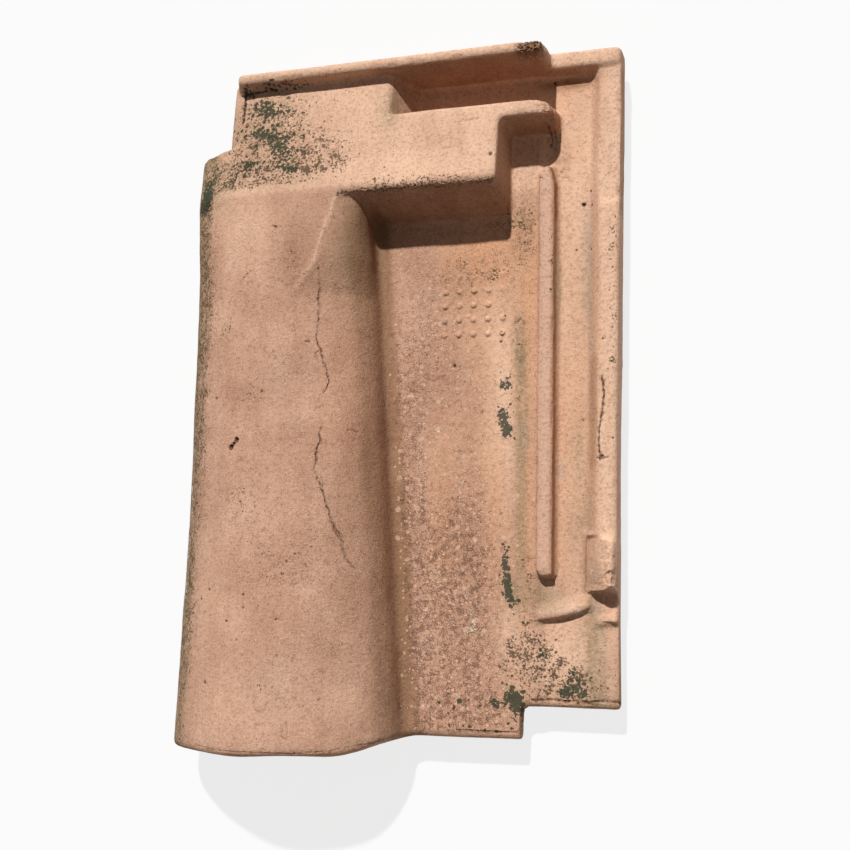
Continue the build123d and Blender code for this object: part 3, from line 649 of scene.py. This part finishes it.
def clay_material():
    """Weathered fired clay: fired colours, grain, dirt, film, lichen, moss, lime and cracks, with painted
    shade and painted highlights.
    """
    speckle, dots = speckle_group(), dots_group()
    material, tree = bare_material("fired_clay_weathered")
    place = put(tree, "ShaderNodeTexCoord").outputs["Object"]
    drawn = put(tree, "ShaderNodeMapping", {"Vector": place, "Scale": STREAKS}).outputs[0]

    def group(kind, **values):
        return put(tree, "ShaderNodeGroup", {"Vector": place, **values}, node_tree=kind).outputs["Mask"]

    def masks(name):
        stored = put(tree, "ShaderNodeAttribute", attribute_name=name).outputs["Color"]
        return put(tree, "ShaderNodeSeparateColor", {0: stored}).outputs

    def lay(clay, factor, code, strength=1.0):
        """A written colour over the clay so far."""
        return tint(tree, times(tree, factor, strength), clay, colour(code))

    moss, specks_and_shade, film_and_shade = masks("growth")
    brown_and_shade, cream_and_highlight, rust = masks("fired_tone_and_painted_light")
    mark, lime, grime = masks("wear")
    crumbs, rib, grey = masks("edges")
    streak = clouds(tree, drawn, 90.0, 4.0, 0.65)
    patchy = clouds(tree, place, 22.0, 4.0, 0.6)
    fine = clouds(tree, place, 480.0, 4.0, 0.7)
    tiny = clouds(tree, place, 1100.0, 3.0, 0.7)

    # the clay itself: pinkish brown, paler and more orange where it was fired or washed so, with painted
    # highlights in the cream and painted shade in the brown
    clay = tint(tree, ramp(tree, patchy, 0.35, 0.65), colour(CLAY_PINK), colour(CLAY_PALE))
    clay = lay(clay, ramp(tree, streak, 0.42, 0.68, 0.0, 0.45), CLAY_DRAWN)
    clay = lay(clay, times(tree, rust, ramp(tree, patchy, 0.3, 0.6, 0.55, 1.0)), CLAY_ORANGE)
    clay = lay(clay, times(tree, cream_and_highlight, ramp(tree, streak, 0.3, 0.7, 1.0, 0.6)), CLAY_CREAM_AND_HIGHLIGHT)
    clay = lay(clay, rib, CLAY_RIB, 0.7)
    clay = lay(clay, grime, CLAY_PAN, 0.32)
    clay = lay(clay, times(tree, grey, ramp(tree, streak, 0.35, 0.6, 0.8, 0.35)), CLAY_GREY)
    clay = lay(clay, ramp(tree, fine, 0.48, 0.68, 0.0, 0.55), GRAIN_DARK)
    clay = lay(clay, ramp(tree, tiny, 0.52, 0.68, 0.0, 0.5), GRAIN_PALE)
    # brown, laid by multiplying, is fired colour and painted shade
    baked_and_shaded = times(tree, brown_and_shade, ramp(tree, clouds(tree, drawn, 60.0, 4.0, 0.6), 0.3, 0.7, 0.7, 1.2))
    clay = tint(tree, baked_and_shaded, clay, tint(tree, 1.0, clay, FIRED_BROWN_AND_SHADE, "MULTIPLY"))

    # film, dirt and pale spots in the pan, dust, pores and lichen; film and specks also lay the valley's
    # painted shade
    uneven = plus(tree, clouds(tree, drawn, 120.0, 4.0, 0.65), times(tree, fine, 1.1))
    clay = lay(clay, times(tree, film_and_shade, ramp(tree, uneven, 0.85, 1.20, 0.20, 0.95)), FILM_OLIVE)
    clay = lay(clay, group(speckle, Size=0.85, Cover=times(tree, grime, 0.62), Edge=0.05), PAN_DIRT, 0.72)
    clay = lay(clay, group(dots, Spacing=2.6, Share=times(tree, grime, 0.6), Radius=0.32), PAN_SPOT, 0.65)
    clay = lay(clay, group(dots, Spacing=6.5, Share=times(tree, grime, 0.5), Radius=0.26), PAN_PATCH, 0.55)
    dusty = calc(tree, "SUBTRACT", plus(tree, times(tree, specks_and_shade, 0.35), 0.33), times(tree, cream_and_highlight, 0.34))
    clay = lay(clay, group(speckle, Size=0.9, Cover=dusty, Edge=0.05), DUST, 0.55)
    clay = lay(clay, group(dots, Spacing=4.2, Share=0.35, Radius=0.09), PORE, 0.8)
    clay = lay(clay, group(speckle, Size=1.5, Cover=times(tree, specks_and_shade, 0.52), Edge=0.02), LICHEN, 0.85)
    dense = ramp(tree, specks_and_shade, 0.35, 1.0, 0.0, 0.8)
    clay = lay(clay, group(dots, Spacing=2.5, Share=dense, Radius=0.34), LICHEN_SPOT, 0.85)

    # moss, lime crust, crumbled edges and cracks
    tufts = group(speckle, Size=2.2, Cover=times(tree, moss, 1.03), Edge=0.03)
    cushions = group(dots, Spacing=3.4, Share=times(tree, moss, 1.3), Radius=0.46)
    growth = calc(tree, "MAXIMUM", tufts, cushions)
    green = tint(tree, ramp(tree, patchy, 0.4, 0.6), colour(MOSS_GREEN), colour(MOSS_GREY))
    clay = tint(tree, times(tree, growth, 0.92), clay, green)
    crust = group(speckle, Size=1.8, Cover=times(tree, lime, 0.8), Edge=0.05)
    clay = lay(clay, crust, LIME_CRUST, 0.85)
    clay = lay(clay, times(tree, crumbs, ramp(tree, fine, 0.4, 0.6, 0.1, 0.6)), CLAY_CRUMBLED)
    clay = lay(clay, times(tree, mark, ramp(tree, tiny, 0.35, 0.65, 1.0, 0.55)), CRACK_DARK)

    height = plus(tree, times(tree, tiny, 0.5), fine)
    height = plus(tree, height, times(tree, clouds(tree, place, 170.0, 3.0, 0.55), 0.8))
    height = plus(tree, height, plus(tree, times(tree, growth, 0.4), times(tree, crust, 0.5)))
    relief = {"Height": height, "Strength": BUMP_STRENGTH, "Distance": BUMP_DEPTH}
    bump = put(tree, "ShaderNodeBump", relief).outputs["Normal"]
    rough = ramp(tree, fine, 0.3, 0.7, SMOOTHEST, ROUGHEST)
    shader = put(tree, "ShaderNodeBsdfPrincipled", {"Base Color": clay, "Roughness": rough, "Normal": bump})
    shader.inputs["Specular IOR Level"].default_value = CLAY_SHINE
    put(tree, "ShaderNodeOutputMaterial", {"Surface": shader.outputs[0]})
    return material


body_mesh = shape_body(even_body())
stain_body(body_mesh)
body_mesh.name = "clay_body"
body_mesh.materials.clear()
body_mesh.materials.append(clay_material())
body = add_object("clay_body", body_mesh)
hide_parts("roof_tile")
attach(body, "root")


# floor, light and camera

FLOOR_HALF = 3.0
FLOOR_GREY, FLOOR_WHITE_SHARE = (0.8, 0.8, 0.8, 1.0), 0.8
SOFT_LIGHT, SOFT_COLOUR = 0.14, (1.0, 0.98, 0.96, 1.0)
SUN_ENERGY, SUN_WIDTH, SUN_WAY = 3.6, math.radians(2.0), Vector((0.07, -0.81, -1.0))
CAMERA_LENS, CAMERA_SENSOR = 55.09, 36.0
CAMERA_PLACE, CAMERA_TURN = (0.27388, -0.16725, 0.82494), (0.18481, 0.30475, -0.03197)
WHITE = (1.0, 1.0, 1.0, 1.0)


def floor_material():
    """Pale floor, white to the camera, that still takes a soft shadow."""
    material, tree = bare_material("pale_floor")
    diffuse = put(tree, "ShaderNodeBsdfDiffuse", {"Color": FLOOR_GREY}).outputs[0]
    white = put(tree, "ShaderNodeEmission", {"Color": WHITE, "Strength": 1.0}).outputs[0]
    rays = put(tree, "ShaderNodeLightPath").outputs
    seen = calc(tree, "MAXIMUM", rays["Is Glossy Ray"], rays["Is Transmission Ray"])
    seen = calc(tree, "MAXIMUM", rays["Is Camera Ray"], seen)
    share = times(tree, seen, FLOOR_WHITE_SHARE)
    both = put(tree, "ShaderNodeMixShader", {0: share, 1: diffuse, 2: white}).outputs[0]
    put(tree, "ShaderNodeOutputMaterial", {"Surface": both})
    return material


bm = bmesh.new()
bmesh.ops.create_grid(bm, x_segments=1, y_segments=1, size=FLOOR_HALF)
floor_mesh = bpy.data.meshes.new("floor")
bm.to_mesh(floor_mesh)
bm.free()
floor_mesh.materials.append(floor_material())
floor = add_object("floor", floor_mesh)

world = bpy.data.worlds.new("studio")
bpy.context.scene.world = world
world.use_nodes = True
sky = world.node_tree
sky.nodes.clear()
rays = put(sky, "ShaderNodeLightPath").outputs
soft = put(sky, "ShaderNodeBackground", {"Color": SOFT_COLOUR, "Strength": SOFT_LIGHT}).outputs[0]
white = put(sky, "ShaderNodeBackground", {"Color": WHITE, "Strength": 1.0}).outputs[0]
seen = calc(sky, "MAXIMUM", rays["Is Camera Ray"], rays["Is Transmission Ray"])
both = put(sky, "ShaderNodeMixShader", {0: seen, 1: soft, 2: white}).outputs[0]
put(sky, "ShaderNodeOutputWorld", {"Surface": both})

sun = bpy.data.lights.new("key", "SUN")
sun.energy = SUN_ENERGY
sun.angle = SUN_WIDTH
key = add_object("key", sun)
key.rotation_mode = "QUATERNION"
key.rotation_quaternion = SUN_WAY.to_track_quat("-Z", "Y")

lens = bpy.data.cameras.new("camera")
lens.sensor_width = CAMERA_SENSOR
lens.lens = CAMERA_LENS
camera = add_object("camera", lens)
camera.rotation_mode = "ZYX"
camera.rotation_euler = CAMERA_TURN
camera.location = CAMERA_PLACE
bpy.context.scene.camera = camera
bpy.context.scene.view_settings.view_transform = "Standard"
